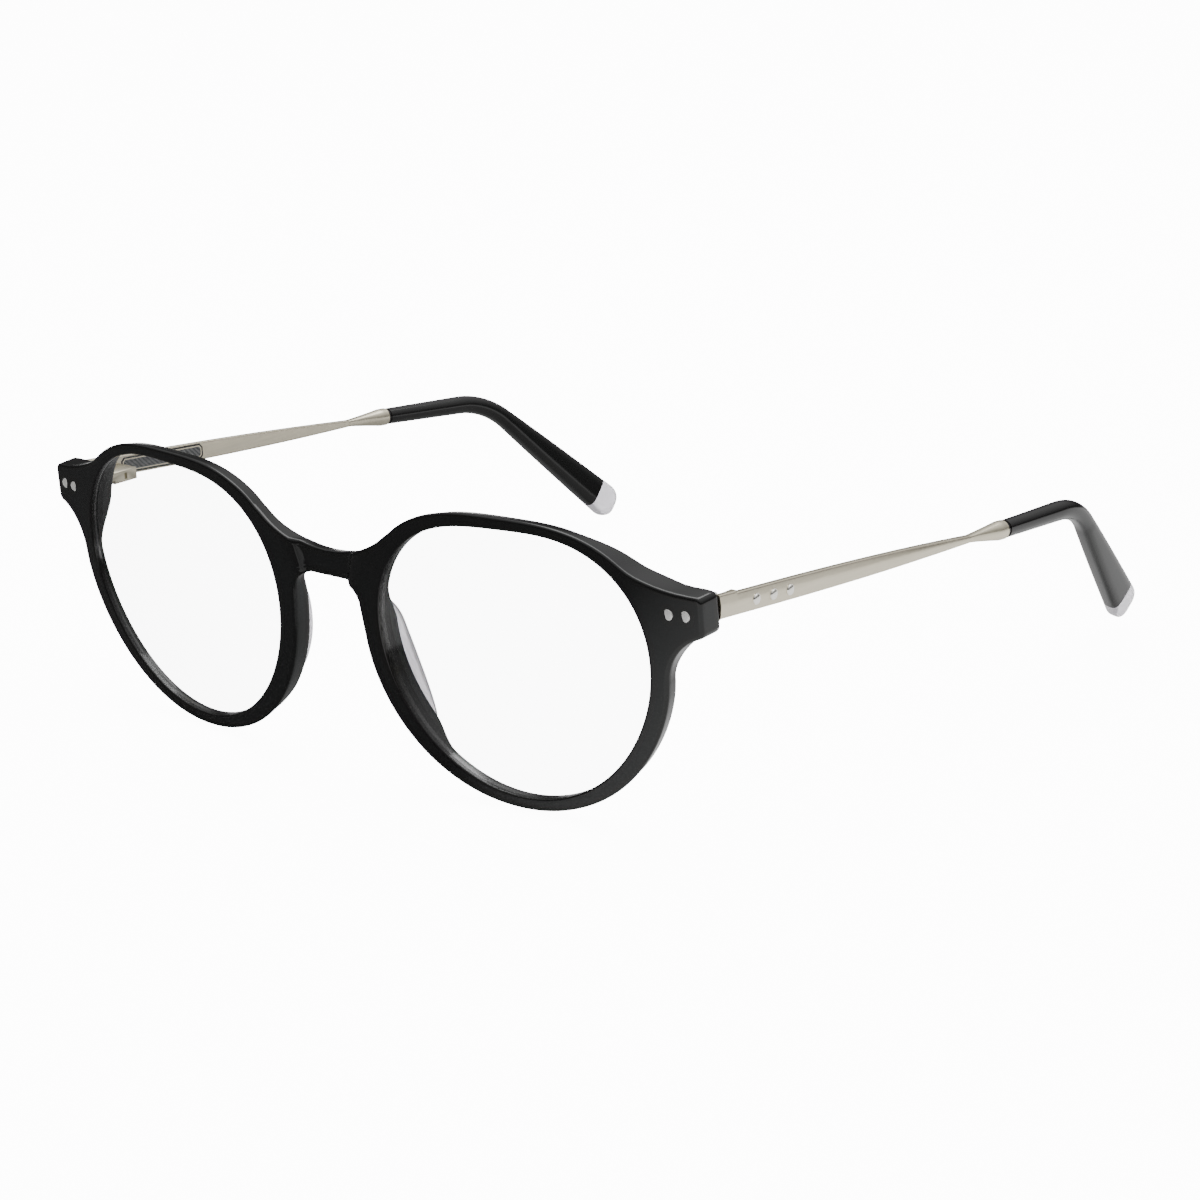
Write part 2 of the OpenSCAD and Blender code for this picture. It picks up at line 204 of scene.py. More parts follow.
def front_sections():
    """Cross-sections of half the flat front, each a closed loop from the lens opening out to
    the outline along the face, round the edge and back along the rear."""
    outer = front_outline()
    n = len(outer)
    polar = np.unwrap(np.arctan2(outer[:, 1], outer[:, 0] - LENS_X))
    polar = np.degrees(polar) - (360 if polar[0] > 3.2 else 0)
    # the fan of sections is squeezed upwards at the bridge, so that none leaves the piece
    mark = np.array([0, 5, 16, 20])
    start = np.interp(np.arange(n), mark, (-203, -199, -189, -181))
    fan = np.where(np.arange(n) < 20, start, polar - 360 * (polar > 180))
    fan = np.degrees(np.unwrap(np.radians(fan)))
    is_dip = (np.arange(n) > n / 2) & (fan > 138)
    fan = np.where(is_dip, 138 + (np.minimum(fan, 161.71) - 138) * 12 / 23.71, fan)
    fan[-4:] = 150 + np.arange(1, 5) * 7 / 5
    wide = np.concatenate([fan[-12:] - 360, fan, fan[:12] + 360])
    kernel = np.hanning(11)[1:-1]
    eased = np.convolve(np.maximum.accumulate(wide), kernel / kernel.sum(), mode="same")
    fan = np.radians(eased[12:-12])

    def opening(a):
        r = lens_edge(a)
        return np.stack([LENS_X + r * np.cos(a), r * np.sin(a)], -1)
    inner = opening(fan)
    along = unit(opening(fan + 0.01) - opening(fan - 0.01))
    from_lens = np.stack([along[:, 1], -along[:, 0]], -1)
    tangent = unit(np.roll(outer, -1, 0) - np.roll(outer, 1, 0))
    tangent[0], tangent[n - 5] = (1, 0), (-1, 0)
    inward = np.stack([-tangent[:, 1], tangent[:, 0]], -1)
    worn = WORN * (1 - ease(outer[:, :1], *WORN_OUT))
    edge = np.ones((n, 1))
    edge[n - 4:] = 0
    inward[n - 4:] = (1, 0)
    rows = []

    def row(base, way, off, depth):
        flat = np.column_stack([base + way * off, np.broadcast_to(depth, n)])
        rows.append(flat[:, (0, 2, 1)])

    quarter = np.radians(np.linspace(0, 90, 5))
    for q in quarter:
        row(inner, from_lens, INNER_EDGE * (1 - math.cos(q)), INNER_EDGE * (1 - math.sin(q)))
    a, b = inner + from_lens * HOLD, outer + inward * HOLD
    for f in (0, 1 / 3, 2 / 3, 1):
        row(a * (1 - f) + b * f, inward, 0, 0)
    for q in quarter[::-1]:
        row(outer, inward, edge * FACE_EDGE * (1 - math.cos(q)),
            edge[:, 0] * FACE_EDGE * (1 - math.sin(q)))
    for f in (0.35, 0.7):
        row(outer, inward, edge * worn * f,
            FACE_EDGE + (RIM_DEPTH - FACE_EDGE - BACK_EDGE) * f)
    for q in quarter:
        row(outer, inward, edge * (worn + BACK_EDGE * (1 - math.cos(q))),
            RIM_DEPTH - edge[:, 0] * BACK_EDGE * (1 - math.sin(q)))
    b = outer + inward * (HOLD + worn)
    for f in (1, 2 / 3, 1 / 3, 0):
        row(a * (1 - f) + b * f, inward, 0, RIM_DEPTH)
    for q in quarter[::-1]:
        row(inner, from_lens, INNER_EDGE * (1 - math.cos(q)),
            RIM_DEPTH - INNER_EDGE * (1 - math.sin(q)))
    row(inner, from_lens, 0, RIM_DEPTH / 2)
    return np.stack(rows, 1)


def swept(name, rings, capped=True):
    """A ring of points carried along in steps; rings[k][i] is where point i lies at step k."""
    rings = np.asarray(rings)
    count, sides = rings.shape[:2]
    bpy.ops.mesh.primitive_circle_add(vertices=sides, radius=1)
    obj = bpy.context.object
    obj.name = obj.data.name = name
    bpy.ops.object.mode_set(mode="EDIT")
    bpy.ops.mesh.select_mode(type="VERT")
    bpy.ops.mesh.select_all(action="SELECT")
    for _ in range(count - 1):
        bpy.ops.mesh.extrude_region_move(TRANSFORM_OT_translate={"value": (0, 0, 1)})
    if capped:
        bpy.ops.mesh.select_all(action="SELECT")
        bpy.ops.mesh.fill_holes(sides=0)
    bpy.ops.object.mode_set(mode="OBJECT")
    co = places(obj)
    i = np.rint(np.arctan2(co[:, 1], co[:, 0]) / (2 * math.pi) * sides).astype(int) % sides
    move_to(obj, rings[np.rint(co[:, 2]).astype(int), i])
    return obj


sections = front_sections()
front = swept("front_black", np.concatenate([sections, sections[:1]]), capped=False)
# the cut face on the middle plane goes, so that the mirrored half joins without a wall
bpy.ops.object.mode_set(mode="EDIT")
bpy.ops.mesh.select_all(action="SELECT")
bpy.ops.mesh.remove_doubles(threshold=1e-4)
bpy.ops.mesh.select_mode(type="FACE")
bpy.ops.mesh.select_all(action="DESELECT")
bm = bmesh.from_edit_mesh(front.data)
for f in bm.faces:
    f.select = max(abs(v.co.x) for v in f.verts) < 1e-3
bmesh.update_edit_mesh(front.data)
bpy.ops.mesh.delete(type="FACE")
bpy.ops.mesh.select_mode(type="VERT")
# three cuts across the bridge, where its face steps back behind the raised rim
dx, dz = STEP_TOP[0] - STEP_FOOT[0], STEP_TOP[1] - STEP_FOOT[1]
step_way = Vector((dz, 0, -dx)).normalized()
for inward in (0.0, STEP_WIDE / 2, STEP_WIDE):
    bm = bmesh.from_edit_mesh(front.data)
    for f in bm.faces:
        f.select = all(v.co.x < 16 and v.co.z > 4 for v in f.verts)
    bmesh.update_edit_mesh(front.data)
    bpy.ops.mesh.bisect(plane_co=(STEP_FOOT[0] - inward, 0, STEP_FOOT[1]), plane_no=step_way)
bpy.ops.object.mode_set(mode="OBJECT")
mod = front.modifiers.new("other_half", "MIRROR")
mod.merge_threshold = 1e-3
bpy.ops.object.modifier_apply(modifier=mod.name)


def to_aperture(co):
    dx = np.abs(co[:, 0]) - LENS_X
    return np.hypot(dx, co[:, 2]) - lens_edge(np.arctan2(co[:, 2], dx))


# the flat blank takes its form: step, seats and endpieces first, then the curve
co = places(front)
x, t, z = np.abs(co[:, 0]), co[:, 1].copy(), co[:, 2]
across = ((x - STEP_FOOT[0]) * dz - (z - STEP_FOOT[1]) * dx) / math.hypot(dx, dz)
inside = np.clip(-across / STEP_WIDE, 0, 1) * (z > 4)
t += inside * BRIDGE_STEP * (1 - t / RIM_DEPTH)
back = np.clip((t - BACK_FROM) / (RIM_DEPTH - BACK_FROM), 0, 1)
angle = np.degrees(np.arctan2(z, x - LENS_X)) % 360
seat = seat_rise(angle) * ease(x, *SEAT_EDGE) * (x < LENS_X)
bridge = BRIDGE_BACK * (1 - ease(x, 3, 13)) * ease(z, 5, 8)
t += (SEAT_DEPTH * seat + bridge) * back
wide = rim_edge(np.radians(angle)) - lens_edge(np.radians(angle))
lean_in = to_aperture(co) / wide * seat * back * SEAT_LEAN
x += lean_in * np.cos(np.radians(angle - 180))
end_back = END_REAR - on_curve(x, z, t)
end = ease(x, *END_WIDENS) * ease(z, *END_LIFTS)
y = on_curve(x, z, t) + np.maximum(0, end_back) * end * back
move_to(front, from_front(np.sign(co[:, 0]) * x, y, z))
finish_shape(front, 40)
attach(front, "front")
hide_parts("front_frame")


def socket(group, name, way, value=None):
    s = group.interface.new_socket(name=name, in_out=way, socket_type="NodeSocketFloat")
    if value is not None:
        s.default_value = value


def polish_group():
    """Roughness that drifts over a surface, with faint hairline marks in its height."""
    g = bpy.data.node_groups.new("polish", "ShaderNodeTree")
    for name, value in (("Roughness", 0.1), ("Spread", 0.05), ("Scale", 300.0), ("Marks", 900.0)):
        socket(g, name, "INPUT", value=value)
    socket(g, "Roughness", "OUTPUT")
    socket(g, "Height", "OUTPUT")
    n, l = g.nodes, g.links
    gi, go = n.new("NodeGroupInput"), n.new("NodeGroupOutput")
    place = n.new("ShaderNodeTexCoord")
    soft, fine = n.new("ShaderNodeTexNoise"), n.new("ShaderNodeTexNoise")
    soft.inputs["Detail"].default_value, fine.inputs["Detail"].default_value = 3, 5
    l.new(place.outputs["Object"], soft.inputs["Vector"])
    l.new(place.outputs["Object"], fine.inputs["Vector"])
    l.new(gi.outputs["Scale"], soft.inputs["Scale"])
    l.new(gi.outputs["Marks"], fine.inputs["Scale"])
    centred = n.new("ShaderNodeMath")
    centred.operation = "SUBTRACT"
    centred.inputs[1].default_value = 0.5
    l.new(soft.outputs["Fac"], centred.inputs[0])
    both = n.new("ShaderNodeMath")
    both.operation = "MULTIPLY_ADD"
    l.new(centred.outputs[0], both.inputs[0])
    l.new(gi.outputs["Spread"], both.inputs[1])
    l.new(gi.outputs["Roughness"], both.inputs[2])
    l.new(both.outputs[0], go.inputs["Roughness"])
    l.new(fine.outputs["Fac"], go.inputs["Height"])
    return g


POLISH = polish_group()


def material(name):
    m = bpy.data.materials.new(name)
    m.use_nodes = True
    return m, m.node_tree.nodes, m.node_tree.links, m.node_tree.nodes["Principled BSDF"]


def polished(nodes_, links, bsdf, rough, spread, scale, marks, bump):
    g = nodes_.new("ShaderNodeGroup")
    g.node_tree = POLISH
    for k, v in (("Roughness", rough), ("Spread", spread), ("Scale", scale), ("Marks", marks)):
        g.inputs[k].default_value = v
    b = nodes_.new("ShaderNodeBump")
    b.inputs["Distance"].default_value = 1e-5
    b.inputs["Strength"].default_value = bump
    links.new(g.outputs["Roughness"], bsdf.inputs["Roughness"])
    links.new(g.outputs["Height"], b.inputs["Height"])
    links.new(b.outputs["Normal"], bsdf.inputs["Normal"])


def black_acetate():
    m, n, l, b = material("black_acetate_polished")
    b.inputs["IOR"].default_value = 1.48
    b.inputs["Specular IOR Level"].default_value = 0.38
    ramp = n.new("ShaderNodeValToRGB")
    noise, place = n.new("ShaderNodeTexNoise"), n.new("ShaderNodeTexCoord")
    noise.inputs["Scale"].default_value = 60
    l.new(place.outputs["Object"], noise.inputs["Vector"])
    l.new(noise.outputs["Fac"], ramp.inputs["Fac"])
    ramp.color_ramp.elements[0].color = (0.0075, 0.0075, 0.0075, 1)
    ramp.color_ramp.elements[1].color = (0.01, 0.01, 0.01, 1)
    l.new(ramp.outputs["Color"], b.inputs["Base Color"])
    polished(n, l, b, 0.12, 0.05, 90, 700, 0.03)
    return m


BLACK = black_acetate()
front.data.materials.clear()
front.data.materials.append(BLACK)

# ---------------------------------------------------------------------------
# LENSES. Clear plano demonstration lenses, cut to the opening and snapped into its groove.
LENS_FRONT, LENS_BACK, LENS_GRIP = 0.73, 1.97, 0.5


def done(obj, body, slot, mat, *stands_for, angle=35, weighted=True):
    finish_shape(obj, angle, weighted)
    obj.data.materials.clear()
    obj.data.materials.append(mat)
    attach(obj, body)
    if stands_for:
        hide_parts(*stands_for)


def other_side(obj, name):
    """The mirror-image piece, with a mesh of its own."""
    twin = obj.copy()
    twin.data = obj.data.copy()
    twin.name = twin.data.name = name
    bpy.context.scene.collection.objects.link(twin)
    move_to(twin, places(twin) * (-1, 1, 1))
    return twin


def clear_through(n, l, bsdf):
    """Light that only passes through on its way to something else isn't bent or lost."""
    out = n["Material Output"]
    path, mix, thin = (n.new(t) for t in ("ShaderNodeLightPath", "ShaderNodeMixShader",
                                          "ShaderNodeBsdfTransparent"))
    either = n.new("ShaderNodeMath")
    either.operation = "MAXIMUM"
    l.new(path.outputs["Is Shadow Ray"], either.inputs[0])
    l.new(path.outputs["Is Diffuse Ray"], either.inputs[1])
    l.new(either.outputs[0], mix.inputs["Fac"])
    l.new(bsdf.outputs[0], mix.inputs[1])
    l.new(thin.outputs[0], mix.inputs[2])
    l.new(mix.outputs[0], out.inputs["Surface"])


def clear_material(name, colour, ior, rough, clear=1):
    m, n, l, b = material(name)
    b.inputs["Base Color"].default_value = (*colour, 1)
    b.inputs["Transmission Weight"].default_value = clear
    b.inputs["IOR"].default_value = ior
    polished(n, l, b, rough, rough * 0.5, 120, 600, 0.02)
    clear_through(n, l, b)
    return m


LENS = clear_material("lens_clear", (0.985, 0.99, 0.99), 1.5, 0.004)
a = np.linspace(0, 2 * math.pi, 120, endpoint=False)
rings = []
for depth, fractions in ((LENS_BACK, np.linspace(0.02, 1, 12)),
                         (LENS_FRONT, np.linspace(1, 0.02, 12))):
    for f in fractions:
        r = (lens_edge(a) + LENS_GRIP) * f
        x, z = LENS_X + r * np.cos(a), r * np.sin(a)
        rings.append(from_front(x, on_curve(x, z, depth), z))
lens = swept("lens_clear_left", rings)
for obj, side in ((lens, "left"), (other_side(lens, "lens_clear_right"), "right")):
    done(obj, "front", "lens", LENS, "lens_" + side, angle=50)

# ---------------------------------------------------------------------------
# NOSE PADS. Two crescents of clear crystal acetate, glued behind the built-up seats and
# tumbled round, splayed to follow the sides of the nose.
PAD_FROM, PAD_TO, PAD_DEPTH, PAD_BURIED = 168.0, 216.0, 2.1, 0.35
CRYSTAL = clear_material("crystal_acetate", (0.62, 0.6, 0.64), 1.48, 0.05, 0.3)
rings = []
for s in np.linspace(0.004, 0.996, 40):
    phi = math.radians(PAD_FROM + (PAD_TO - PAD_FROM) * s)
    swell = math.sin(math.pi * s) ** 0.55
    wide = rim_edge(phi) - lens_edge(phi) - 1.25
    t = np.linspace(0, 2 * math.pi, 32, endpoint=False)
    across = 0.35 + wide / 2 + wide / 2 * swell * np.sign(np.cos(t)) * np.abs(np.cos(t)) ** 0.7
    high = (0.5 + 0.5 * np.sign(np.sin(t)) * np.abs(np.sin(t)) ** 0.8) * PAD_DEPTH * swell
    r = lens_edge(phi) + across
    under = RIM_DEPTH + SEAT_DEPTH * float(seat_rise(math.degrees(phi)))
    x = LENS_X + r * math.cos(phi) + high * 0.42 + 0.4
    z = r * math.sin(phi)
    rings.append(from_front(x, on_curve(x, z, under - PAD_BURIED) + high, z))
pad = swept("nose_pad_clear_left", rings)
for obj, side in ((pad, "left"), (other_side(pad, "nose_pad_clear_right"), "right")):
    done(obj, "front", "clear_acetate", CRYSTAL, "nose_pad_" + side, angle=60)

# ---------------------------------------------------------------------------
# RIVETS. Bright heads of the two pins that hold each hinge leaf, filed almost flush with the
# face of the endpiece.
RIVET_R, RIVET_Z, RIVET_X, RIVET_PROUD = 0.82, 10.45, (62.03, 64.67), 0.06


def metal(name, colour, rough, spread, amount, brushed, bump):
    m, n, l, b = material(name)
    b.inputs["Metallic"].default_value = amount
    place, stretch = n.new("ShaderNodeTexCoord"), n.new("ShaderNodeMapping")
    grain, mix = n.new("ShaderNodeTexNoise"), n.new("ShaderNodeMix")
    stretch.inputs["Scale"].default_value = brushed
    grain.inputs["Scale"].default_value = 1
    grain.inputs["Detail"].default_value = 4
    mix.data_type = "RGBA"
    mix.inputs[6].default_value = (*(c * 0.9 for c in colour), 1)
    mix.inputs[7].default_value = (*(min(1, c * 1.08) for c in colour), 1)
    l.new(place.outputs["Object"], stretch.inputs["Vector"])
    l.new(stretch.outputs["Vector"], grain.inputs["Vector"])
    l.new(grain.outputs["Fac"], mix.inputs["Factor"])
    l.new(mix.outputs[2], b.inputs["Base Color"])
    polished(n, l, b, rough, spread, 260, 2500, bump)
    lines = n.new("ShaderNodeBump")
    lines.inputs["Distance"].default_value = 4e-6
    lines.inputs["Strength"].default_value = bump
    l.new(grain.outputs["Fac"], lines.inputs["Height"])
    l.new(n["Bump"].outputs["Normal"], lines.inputs["Normal"])
    l.new(lines.outputs["Normal"], b.inputs["Normal"])
    return m


BRIGHT = metal("bright_nickel", (0.82, 0.82, 0.79), 0.42, 0.2, 0.45, (900, 900, 900), 0.5)


def turned(name, profile, centre, out, sides=40):
    """A turned piece: profile is (radius, height) along the out direction, in mm."""
    out = Vector(out).normalized()
    one = out.orthogonal().normalized()
    two = out.cross(one)
    t = np.linspace(0, 2 * math.pi, sides, endpoint=False)[:, None]
    ring = np.cos(t) * np.array(one) + np.sin(t) * np.array(two)
    return swept(name, [np.asarray(centre) + (ring * r + np.array(out) * h) * MM
                        for r, h in profile])


face_out = from_front(0.0, -1.0, 0.0) - from_front(0.0, 0.0, 0.0)
for number, x in enumerate(RIVET_X):
    seat_at = from_front(x, float(on_curve(x, RIVET_Z, 0)), RIVET_Z)
    profile = ((RIVET_R, -1.0), (RIVET_R, RIVET_PROUD - 0.08),
               (RIVET_R - 0.03, RIVET_PROUD - 0.03), (RIVET_R - 0.12, RIVET_PROUD),
               (0.4, RIVET_PROUD + 0.02), (0.05, RIVET_PROUD + 0.025))
    rivet = turned(f"rivet_left_{number}", profile, seat_at, face_out)
    twin = other_side(rivet, f"rivet_right_{number}")
    for obj, side in ((rivet, "left"), (twin, "right")):
        done(obj, "front", "bright_metal", BRIGHT, "front_rivets_" + side, weighted=False)

# ---------------------------------------------------------------------------
# HINGES. Three-knuckle barrel hinges of nickel silver: the leaf and two knuckles on the front,
# the block and the middle knuckle on the arm, and a slotted screw. Edges broken by tumbling.
PIN_X, PIN_Y, HINGE_Z = 63.6, 12.0, 33.3
BREAK = 0.00009
SATIN = metal("satin_nickel_silver", (0.68, 0.63, 0.495), 0.33, 0.12, 1.0, (2500, 60, 2500), 0.8)


def softened(node, name):
    """The CAD solid with its sharp edges broken."""
    obj = nodes[node].copy()
    obj.data = nodes[node].data.copy()
    obj.name = obj.data.name = name
    obj.parent = None
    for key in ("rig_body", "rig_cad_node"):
        del obj[key]
    bpy.context.scene.collection.objects.link(obj)
    bpy.ops.object.select_all(action="DESELECT")
    obj.select_set(True)
    bpy.context.view_layer.objects.active = obj
    bpy.ops.object.mode_set(mode="EDIT")
    bpy.ops.mesh.select_all(action="SELECT")
    bpy.ops.mesh.remove_doubles(threshold=2e-6)
    bpy.ops.mesh.dissolve_limited(angle_limit=math.radians(2))
    bpy.ops.object.mode_set(mode="OBJECT")
    mod = obj.modifiers.new("broken_edges", "BEVEL")
    mod.width, mod.segments, mod.limit_method = BREAK, 2, "ANGLE"
    mod.angle_limit = math.radians(50)
    bpy.ops.object.modifier_apply(modifier=mod.name)
    return obj


for side in ("left", "right"):
    arm_body = "temple_" + side
    for node, body, slot, mat in (
            ("front_hinge_", "front", "satin_metal", SATIN),
            ("hinge_screw_", "front", "bright_metal", BRIGHT),
            ("temple_hinge_", arm_body, "satin_metal", SATIN)):
        piece = softened(node + side, node + "soft_" + side)
        done(piece, body, slot, mat, node + side, weighted=False)

# ---------------------------------------------------------------------------
# ARMS. Flat bars of satin nickel silver, forged with a soft ridge along the outer face, that
# narrow to a waist; a taller lug at the front end carries the hinge block.
ARM_U, ARM_T, ARM_Z = 2.45, 1.3, 34.22
ARM_TURN, ARM_FALL = math.radians(1.03), math.radians(4.9)
ARM_FRONT, WAIST, HALF_FRONT, HALF_WAIST = -1.95, 56.5, 1.62, 0.54
RIDGE, RIDGE_AT = 0.24, 0.15
LUG_END, LUG_RISE = 1.75, 0.22
COLLAR_AT, COLLAR_R, COLLAR_GAP = 65.5, 1.48, 0.2


def on_temple(u, along, z):
    """A place by distance outside the screw and along the arm, in mm, to the shared frame."""
    c, s = math.cos(ARM_TURN), math.sin(ARM_TURN)
    u, along, z = np.broadcast_arrays(u, along, z)
    return np.stack([PIN_X + u * c - along * s, PIN_Y - MIDDLE_Y + u * s + along * c, z], -1) * MM


def arm_middle(d):
    return ARM_Z - d * math.tan(ARM_FALL)


def rounded(corners, radii, steps=5):
    """A closed outline with each corner eased over a distance either side of it."""
    corners = np.asarray(corners, float)
    out = []
    for i, p in enumerate(corners):
        before, after = corners[i - 1] - p, corners[(i + 1) % len(corners)] - p
        reach = min(radii[i], 0.45 * np.linalg.norm(before), 0.45 * np.linalg.norm(after))
        start = p + before / np.linalg.norm(before) * reach
        end = p + after / np.linalg.norm(after) * reach
        for t in np.linspace(0, 1, steps):
            out.append(start * (1 - t) ** 2 + 2 * p * t * (1 - t) + end * t ** 2)
    return np.array(out)


def arm_ring(d):
    half = HALF_FRONT - (HALF_FRONT - HALF_WAIST) * (max(0, d) / WAIST) ** 2.6
    t = ARM_T / 2
    top = half + (LUG_RISE if d < LUG_END else 0)
    ridge = RIDGE * min(1, half)
    outline = rounded(((t - ridge, -half), (t, RIDGE_AT * half), (t - ridge, top), (-t, top),
                       (-t, -half)), (0.2, 0.35, 0.3, 0.25, 0.25))
    return on_temple(ARM_U + t + outline[:, 0], d, arm_middle(d) + outline[:, 1])


stations = np.concatenate([np.linspace(ARM_FRONT, LUG_END - 0.04, 5), [LUG_END + 0.04],
                           np.linspace(3, WAIST, 50)])
arm = swept("arm_left", [arm_ring(d) for d in stations])
for obj, side in ((arm, "left"), (other_side(arm, "arm_right"), "right")):
    done(obj, "temple_" + side, "satin_metal", SATIN, "temple_arm_" + side, angle=32)

# ---------------------------------------------------------------------------
# STUDS. Three small domed pins set in a row in the outer face of each arm.
STUDS, STUD_R, STUD_HIGH = (5.8, 9.6, 13.3), 0.82, 0.36
POLISHED = metal("polished_nickel", (0.92, 0.9, 0.84), 0.2, 0.08, 1.0, (900, 900, 900), 0.3)
for number, d in enumerate(STUDS):
    spot = on_temple(ARM_U + ARM_T - 0.12, d, arm_middle(d))
    away = on_temple(1.0, 0.0, 0.0) - on_temple(0.0, 0.0, 0.0)
    dome = [(STUD_R - 0.02, -0.3), (STUD_R - 0.02, 0.1), (STUD_R, 0.14), (STUD_R - 0.03, 0.18),
            (STUD_R - 0.1, 0.17)]
    for t in np.linspace(0.1, 1.45, 9):
        dome.append(((STUD_R - 0.1) * math.cos(t), 0.16 + STUD_HIGH * 0.75 * math.sin(t)))
    stud = turned(f"stud_left_{number}", dome, spot, away)
    twin = other_side(stud, f"stud_right_{number}")
    for obj, side in ((stud, "left"), (twin, "right")):
        done(obj, "temple_" + side, "bright_metal", POLISHED, "temple_studs_" + side,
             weighted=False)

# ---------------------------------------------------------------------------
# INLAYS. A long panel with cut corners on the inner face of each arm: a dark enamel outline, a
# line of bare metal and a dark field with a fine engine-turned pattern.
INLAY_AT, INLAY_LEN, INLAY_HALF, INLAY_CUT = 6.9, 16.6, 1.3, 0.6
OUTLINE, LINE, INLAY_PROUD = 0.28, 0.2, 0.05
INLAY_STEP, INLAY_T = 0.03, 0.00012


def enamel(name, ground, figure):
    m, n, l, b = material(name)
    place, bands = n.new("ShaderNodeTexCoord"), n.new("ShaderNodeTexWave")
    bands.bands_direction = "DIAGONAL"
    bands.inputs["Scale"].default_value = 800
    bands.inputs["Distortion"].default_value = 1.5
    mix = n.new("ShaderNodeMix")
    mix.data_type = "RGBA"
    mix.inputs[6].default_value, mix.inputs[7].default_value = (*ground, 1), (*figure, 1)
    l.new(place.outputs["Object"], bands.inputs["Vector"])
    l.new(bands.outputs["Fac"], mix.inputs["Factor"])
    l.new(mix.outputs[2], b.inputs["Base Color"])
    polished(n, l, b, 0.35, 0.1, 300, 1500, 0.3)
    return m


FIELD = enamel("dark_field", (0.03, 0.032, 0.034), (0.12, 0.125, 0.125))
DARK = enamel("dark_outline", (0.006, 0.006, 0.006), (0.01, 0.01, 0.01))
c, h, length = INLAY_CUT, INLAY_HALF, INLAY_LEN
corners = np.array([(c, -h), (length - c, -h), (length, c - h), (length, h - c),
                    (length - c, h), (c, h), (0, h - c), (0, c - h)])
bpy.ops.mesh.primitive_circle_add(vertices=8, radius=1, fill_type="NGON")
panel = bpy.context.object
panel.name = panel.data.name = "inlay_panel_left"
co = places(panel)
i = np.rint(np.arctan2(co[:, 1], co[:, 0]) / (2 * math.pi) * 8).astype(int) % 8
move_to(panel, np.column_stack([corners[i], np.zeros(8)]))
for mat in (DARK, SATIN, FIELD):
    panel.data.materials.append(mat)
bpy.ops.object.mode_set(mode="EDIT")
bpy.ops.mesh.select_mode(type="FACE")
bpy.ops.mesh.select_all(action="SELECT")
bpy.ops.mesh.inset(thickness=OUTLINE, depth=0)
panel.active_material_index = 1
bpy.ops.object.material_slot_assign()
bpy.ops.mesh.inset(thickness=LINE, depth=0)
panel.active_material_index = 2
bpy.ops.object.material_slot_assign()
bpy.ops.mesh.inset(thickness=INLAY_STEP, depth=-INLAY_STEP)
bpy.ops.mesh.select_all(action="SELECT")
bpy.ops.mesh.subdivide(number_cuts=2)
bpy.ops.object.mode_set(mode="OBJECT")
co = places(panel)
move_to(panel, on_temple(ARM_U - INLAY_PROUD - co[:, 2],
                         INLAY_AT + co[:, 0] * math.cos(ARM_FALL),
                         arm_middle(INLAY_AT) - co[:, 0] * math.sin(ARM_FALL) + co[:, 1]))
twin = other_side(panel, "inlay_panel_right")
for obj, side in ((panel, "left"), (twin, "right")):
    bpy.ops.object.select_all(action="DESELECT")
    obj.select_set(True)
    bpy.context.view_layer.objects.active = obj
    inward = -1 if side == "left" else 1
    if sum(p.normal.x * p.area for p in obj.data.polygons) * inward < 0:
        bpy.ops.object.mode_set(mode="EDIT")
        bpy.ops.mesh.select_all(action="SELECT")
        bpy.ops.mesh.flip_normals()
        bpy.ops.object.mode_set(mode="OBJECT")
    mod = obj.modifiers.new("body", "SOLIDIFY")
    mod.thickness, mod.offset = INLAY_T, -1
    bpy.ops.object.modifier_apply(modifier=mod.name)
    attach(obj, "temple_" + side)
    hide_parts("temple_inlay_" + side)

# ---------------------------------------------------------------------------
# COLLARS. The end of each arm is swaged into a round trumpet that caps the acetate tip.
t = np.linspace(0, 2 * math.pi, 40, endpoint=False)


def oval(cu, along, z, half_u, half_z, square, tilt):
    """A ring across the arm's line; square is 2 for an ellipse and more for a boxier ring."""
    p = 2 / square
    u = half_u * np.sign(np.cos(t)) * np.abs(np.cos(t)) ** p
    v = half_z * np.sign(np.sin(t)) * np.abs(np.sin(t)) ** p
    return on_temple(cu + u, along + v * math.sin(tilt), z + v * math.cos(tilt))


collar_rings = []
reach = COLLAR_AT - COLLAR_GAP - WAIST
for s in np.linspace(0, 1, 26):
    grow = min(1.0, s / 0.86)
    r = 0.56 + (COLLAR_R - 0.56) * grow ** 1.2
    flat = (1 - s) ** 2
    d = WAIST - 0.02 + reach * s
    collar_rings.append(oval(ARM_U + ARM_T / 2 - 0.03 * flat, d, arm_middle(d),
                             r + (ARM_T / 2 - 0.56) * flat, r - (0.56 - HALF_WAIST) * flat,
                             2 + 2.2 * flat, ARM_FALL))
for inset_r, on in ((COLLAR_R - 0.05, 0.0), (COLLAR_R - 0.22, 0.02), (COLLAR_R - 0.3, -0.15)):
    d = COLLAR_AT - COLLAR_GAP + on
    collar_rings.append(oval(ARM_U + ARM_T / 2, d, arm_middle(d), inset_r, inset_r, 2, ARM_FALL))
collar = swept("collar_left", collar_rings)
for obj, side in ((collar, "left"), (other_side(collar, "collar_right"), "right")):
    done(obj, "temple_" + side, "satin_metal", SATIN, "temple_collar_" + side, angle=45)

# ---------------------------------------------------------------------------
# TIPS. Black acetate sleeves over a wire core: round at the collar, bent down and in behind the
# ear, and swelling to a flat, soft-cornered paddle. A clear piece is bonded on each end.
TIP_TURN, BEND_LEAN, BEND_TURN = (math.radians(v) for v in (4.7, 13.2, 40.3))
BEND_AT, BEND_R, TIP_STRAIGHT, CLEAR_LEN = 16.5, 16.0, 29.0, 5.0
TIP_START, TIP_BEND, TIP_END, TIP_HALF_T, END_ROUND = 1.38, 1.55, 3.05, 1.6, 3.2


